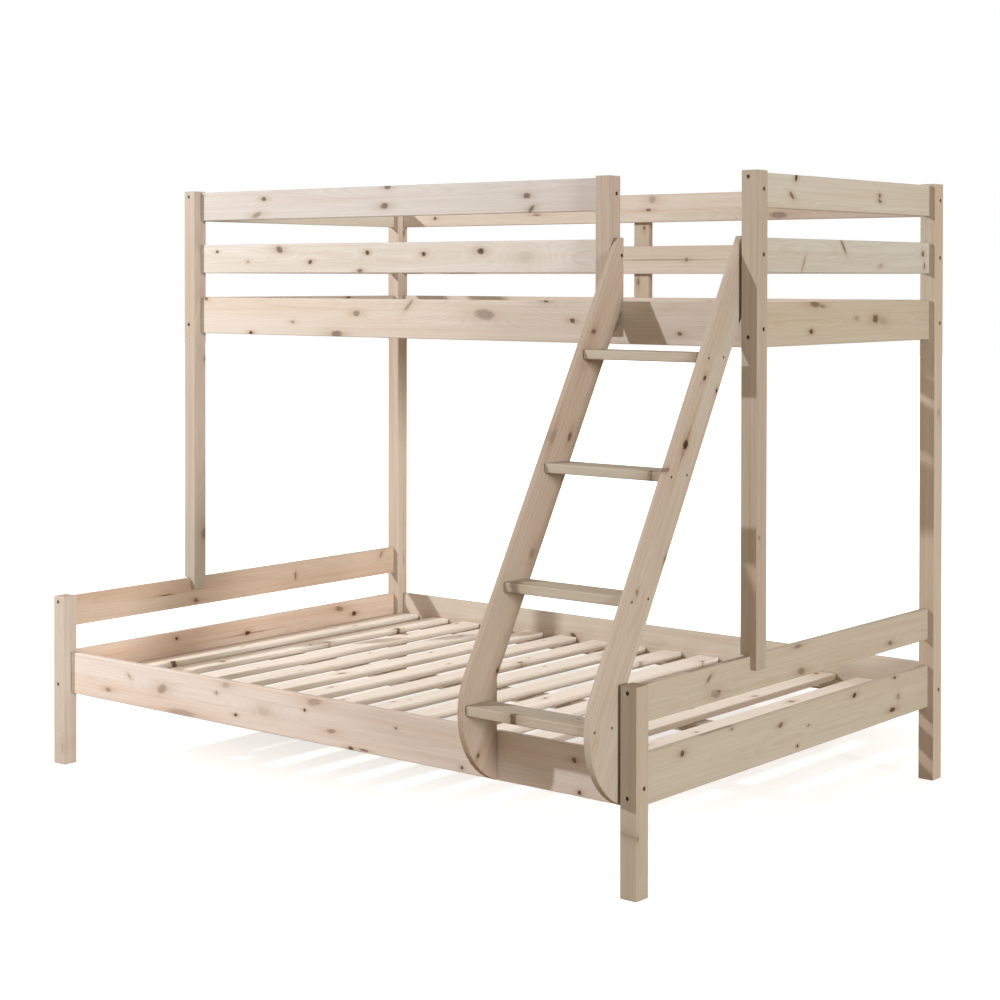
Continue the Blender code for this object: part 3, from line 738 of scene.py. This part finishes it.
def make_upper_slats(groups, steel):
    """Separate slats, two straps and their staples, in the place of the slatted base."""
    low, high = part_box("upper_slat_base")
    slat_low = high.z - SLAT_THICKNESS
    for number, left in enumerate(slat_lefts(), start=1):
        name = f"upper_slat_{number:02d}"
        corners = Vector((left, low.y, slat_low)), Vector((left + SLAT_WIDTH, high.y, high.z))
        shape = bmesh.new()
        add_box(shape, *corners)
        slat = add_piece(name, shape, pine_material(Board(name, *corners), groups))
        round_edges(slat, SLAT_EDGE)
        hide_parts("upper_slat_base")
    rear_strap = high.y - STRAP_INSET - STRAP_WIDTH
    for side, strap_low in (("front", low.y + STRAP_INSET), ("rear", rear_strap)):
        make_strap(side, strap_low, slat_low)
        make_staples(side, strap_low, slat_low, steel)


def make_strap(side, low_y, slat_low):
    """A strap under the slats, with rounded edges, that lies against them all the way."""
    lefts = slat_lefts()
    shape = bmesh.new()
    add_box(shape, (lefts[0] + STRAP_END_INSET, low_y, slat_low - STRAP_THICKNESS),
            (lefts[-1] + SLAT_WIDTH - STRAP_END_INSET, low_y + STRAP_WIDTH, slat_low))
    strap = add_piece(f"slat_strap_{side}", shape, webbing_material())
    round_edges(strap, STRAP_THICKNESS / 3)
    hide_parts("upper_slat_base")


def make_staples(side, low_y, slat_low, steel):
    """Two flat staples hold the strap to each slat."""
    shape = bmesh.new()
    under = slat_low - STRAP_THICKNESS
    middle_y = low_y + STRAP_WIDTH / 2
    for left in slat_lefts():
        for x in (left + SLAT_WIDTH / 3, left + 2 * SLAT_WIDTH / 3):
            add_box(shape, (x - STAPLE_WIRE, middle_y - STAPLE_LENGTH / 2, under - STAPLE_WIRE / 2),
                    (x + STAPLE_WIRE, middle_y + STAPLE_LENGTH / 2, under + STAPLE_WIRE))
    add_piece(f"strap_staples_{side}", shape, steel)


# ---------------------------------------------------------------- bolts and screws

def steel_material():
    """Dark, dull steel with slight handling marks."""
    material, tree, shader = new_material("dark_steel", metallic=0.7)
    spot = tree.add("ShaderNodeTexCoord").outputs["Object"]
    mottled = tree.noise(spot, STEEL_MOTTLE_SCALE, 3.0)
    colour = tree.mix(tree.ramp(mottled, *STEEL_MOTTLE), STEEL_DARK, STEEL_LIGHT)
    tree.feed(shader.inputs["Base Color"], colour)
    tree.feed(shader.inputs["Roughness"], tree.ramp(mottled, *STEEL_ROUGHNESS))
    return material


def polygon_reach(corners, angle):
    """How far a regular polygon reaches at an angle, for a corner radius of 1."""
    step = math.tau / corners
    return math.cos(step / 2) / math.cos(angle % step - step / 2)


def add_head(shape, surface, outward, size):
    """A sunk round head with a socket, its axis along outward, under a point on the surface."""
    outward = Vector(outward)
    turn = Vector((0.0, 0.0, 1.0)).rotation_difference(outward)
    top = Vector(surface) - outward * size["sink"]
    chamfer = size["height"] * CHAMFER_SHARE
    angles = [math.tau * i / HEAD_SIDES for i in range(HEAD_SIDES)]

    def ring(radius, depth, corners=0):
        spots = []
        for angle in angles:
            reach = radius * (polygon_reach(corners, angle) if corners else 1.0)
            offset = Vector((reach * math.cos(angle), reach * math.sin(angle), -depth))
            spots.append(shape.verts.new(top + turn @ offset))
        return spots

    rings = [
        ring(size["radius"], size["height"]),
        ring(size["radius"], chamfer),
        ring(size["radius"] - chamfer, 0.0),
        ring(size["socket"], 0.0, size["corners"]),
        ring(size["socket"] * SOCKET_TAPER, size["depth"], size["corners"]),
    ]
    for lower, upper in zip(rings, rings[1:]):
        for i in range(HEAD_SIDES):
            j = (i + 1) % HEAD_SIDES
            shape.faces.new((lower[i], lower[j], upper[j], upper[i]))
    shape.faces.new(list(reversed(rings[0])))
    shape.faces.new(rings[-1])


def end_bolt_heights(side):
    """Heights of the bolts into a side's end rails: lower pair, then upper pair."""
    heights = []
    for top_rail, deep_rail in (("lower_end_rail", "lower_end_deep_rail"),
                                ("upper_end_top_board", "upper_end_deep_rail")):
        heights.append(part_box(f"{top_rail}_{side}")[1].z - BOLT_BELOW_RAIL_TOP)
        heights.append(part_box(f"{deep_rail}_{side}")[0].z + BOLT_ABOVE_RAIL_BOTTOM)
    return heights[:2], heights[2:]


def frame_bolts():
    """Every frame bolt as (point on the wood's surface, direction out of the wood). Bolts into the end
    rails come through the posts' fronts or backs, and bolts into the long rails through their sides.
    One more goes through the guard post, and one through the left stile."""
    lower_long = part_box("lower_front_rail")[0].z + LONG_RAIL_BOLT_RISE
    upper_long = [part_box(rail)[0].z + rise for rail, rise in UPPER_LONG_BOLT_RISES]
    bolts = []
    for side, outward_x in (("left", -1.0), ("right", 1.0)):
        lower_ends, upper_ends = end_bolt_heights(side)
        posts = (
            (f"lower_front_post_{side}", -1.0, lower_ends, [lower_long]),
            (f"upper_front_post_{side}", -1.0, upper_ends, upper_long),
            (f"rear_post_{side}", 1.0, lower_ends + upper_ends, [lower_long, *upper_long]),
        )
        for name, outward_y, end_heights, long_heights in posts:
            low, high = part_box(name)
            face_y = low.y if outward_y < 0 else high.y
            face_x = low.x if outward_x < 0 else high.x
            bolts += [((low.x + BOLT_FROM_POST_LEFT, face_y, z), (0.0, outward_y, 0.0))
                      for z in end_heights]
            bolts += [((face_x, low.y + BOLT_FROM_POST_FRONT, z), (outward_x, 0.0, 0.0))
                      for z in long_heights]
    _, middle_board_bolt, top_board_bolt = upper_long
    guard_low, guard_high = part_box("guard_post")
    guard_y = guard_low.y + BOLT_FROM_POST_FRONT
    bolts.append(((guard_high.x, guard_y, top_board_bolt), (1.0, 0.0, 0.0)))
    stile_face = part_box("ladder_stile_left")[1].x
    stile_y = guard_low.y + STILE_BOLT_FROM_POST_FRONT
    bolts.append(((stile_face, stile_y, middle_board_bolt), (1.0, 0.0, 0.0)))
    return bolts


def tread_screws():
    """Two screws through each stile into each end of each tread."""
    screws = []
    left_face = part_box("ladder_stile_left")[0].x
    right_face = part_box("ladder_stile_right")[1].x
    for face_x, outward in ((left_face, -1.0), (right_face, 1.0)):
        for number in range(1, TREAD_COUNT + 1):
            low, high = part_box(f"ladder_tread_{number}")
            middle = (low + high) / 2
            screws += [((face_x, middle.y + offset, middle.z), (outward, 0.0, 0.0))
                       for offset in (-SCREW_SPREAD, SCREW_SPREAD)]
    return screws


def make_fasteners(steel):
    """A separate head in every bolt hole and screw hole."""
    for name, places, size in (("frame_bolts", frame_bolts(), BOLT_HEAD),
                               ("tread_screws", tread_screws(), SCREW_HEAD)):
        for number, (surface, outward) in enumerate(places, start=1):
            shape = bmesh.new()
            add_head(shape, surface, outward, size)
            add_piece(f"{name}_{number:02d}", shape, steel)


# ---------------------------------------------------------------- stage

def floor_shade_and_glow(tree):
    """How far a spot of the floor is in the shade of the bed, and how brightly it glows for the
    camera: less in that shade, and fully far away, where it has to melt into the background."""
    x, y, _ = tree.split(tree.add("ShaderNodeTexCoord").outputs["Object"])
    far = tree.ramp(tree.math("SQRT", tree.squares(x, y)), *FLOOR_GLOW_RISE)
    offsets = [tree.math("DIVIDE", tree.math("SUBTRACT", place, centre), reach)
               for place, centre, reach in zip((x, y), SHADE_CENTRE, SHADE_REACH)]
    shade = tree.ramp(tree.math("SQRT", tree.squares(*offsets)), 1.0, SHADE_FULL)
    lit = tree.math("MULTIPLY_ADD", far, FLOOR_FAR_GLOW - FLOOR_GLOW, FLOOR_GLOW)
    glow = tree.math("MULTIPLY_ADD", shade, tree.math("SUBTRACT", FLOOR_SHADE_GLOW, lit), lit)
    return shade, glow


def make_floor():
    """A pale floor. The camera sees it almost white; the bed gets its softer, warmer bounce."""
    bpy.ops.mesh.primitive_plane_add(size=FLOOR_SIZE)
    floor = bpy.context.object
    floor.name = "studio_floor"
    material, tree, shader = new_material("pale_floor", roughness=0.9, specular=0.1)
    seen = tree.add("ShaderNodeLightPath").outputs["Is Camera Ray"]
    shade, glow = floor_shade_and_glow(tree)
    shown = tree.mix(shade, FLOOR_COLOUR, FLOOR_SHADE_COLOUR)
    tree.feed(shader.inputs["Base Color"], tree.mix(seen, FLOOR_BOUNCE_COLOUR, shown))
    shader.inputs["Emission Color"].default_value = WHITE
    tree.feed(shader.inputs["Emission Strength"], tree.math("MULTIPLY", seen, glow))
    floor.data.materials.append(material)


def make_surround():
    """A plain surround: white where the camera sees it, softer and warmer where it lights the bed."""
    world = bpy.data.worlds.new("studio")
    bpy.context.scene.world = world
    world.use_nodes = True
    tree = Tree(world.node_tree)
    seen = tree.add("ShaderNodeLightPath").outputs["Is Camera Ray"]
    warm = [SURROUND_POWER * share for share in SURROUND_COLOUR]
    background = world.node_tree.nodes["Background"]
    tree.feed(background.inputs["Color"], tree.mix(seen, (*warm, 1.0), WHITE))


def add_lamp(name, kind, power, direction=None, spread=0.0):
    """A lamp that the camera does not see. A sun has a direction and a spread."""
    light = bpy.data.lights.new(name, kind)
    light.energy = power
    lamp = bpy.data.objects.new(name, light)
    lamp.visible_camera = False
    if direction:
        light.angle = spread
        lamp.rotation_mode = "QUATERNION"
        lamp.rotation_quaternion = Vector(direction).to_track_quat("-Z", "Y")
    bpy.context.scene.collection.objects.link(lamp)
    return lamp


def make_lights():
    key = add_lamp("key", "POINT", KEY_POWER)
    key.location = KEY_PLACE
    key.data.shadow_soft_size = KEY_RADIUS
    add_lamp("side", "SUN", SIDE_POWER, SIDE_DIRECTION, SIDE_SPREAD)
    add_lamp("back", "SUN", BACK_POWER, BACK_DIRECTION, BACK_SPREAD)


def make_camera():
    """The camera. Its picture shows colours as they are, without a film's curve."""
    data = bpy.data.cameras.new("camera")
    data.lens = CAMERA_LENS
    data.shift_x, data.shift_y = CAMERA_SHIFT
    camera = bpy.data.objects.new("camera", data)
    camera.location = CAMERA_PLACE
    camera.rotation_euler = [math.radians(angle) for angle in CAMERA_TURN]
    bpy.context.scene.collection.objects.link(camera)
    bpy.context.scene.camera = camera
    bpy.context.scene.view_settings.view_transform = "Standard"


def main(nodes):
    """Set the stage, then finish the boards and add the pieces that the CAD leaves out."""
    make_camera()
    make_floor()
    make_surround()
    make_lights()
    groups = {"knot": make_knot_group(), "pine": make_pine_group()}
    steel = steel_material()
    finish_cad_boards(nodes, groups)
    make_upper_slats(groups, steel)
    make_fasteners(steel)


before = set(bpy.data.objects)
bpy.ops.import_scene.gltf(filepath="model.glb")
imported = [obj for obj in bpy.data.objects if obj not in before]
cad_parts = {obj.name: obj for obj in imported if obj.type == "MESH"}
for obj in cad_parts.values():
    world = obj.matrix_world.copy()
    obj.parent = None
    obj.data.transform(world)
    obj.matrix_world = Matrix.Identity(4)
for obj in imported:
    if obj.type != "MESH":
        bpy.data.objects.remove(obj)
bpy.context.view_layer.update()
main(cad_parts)
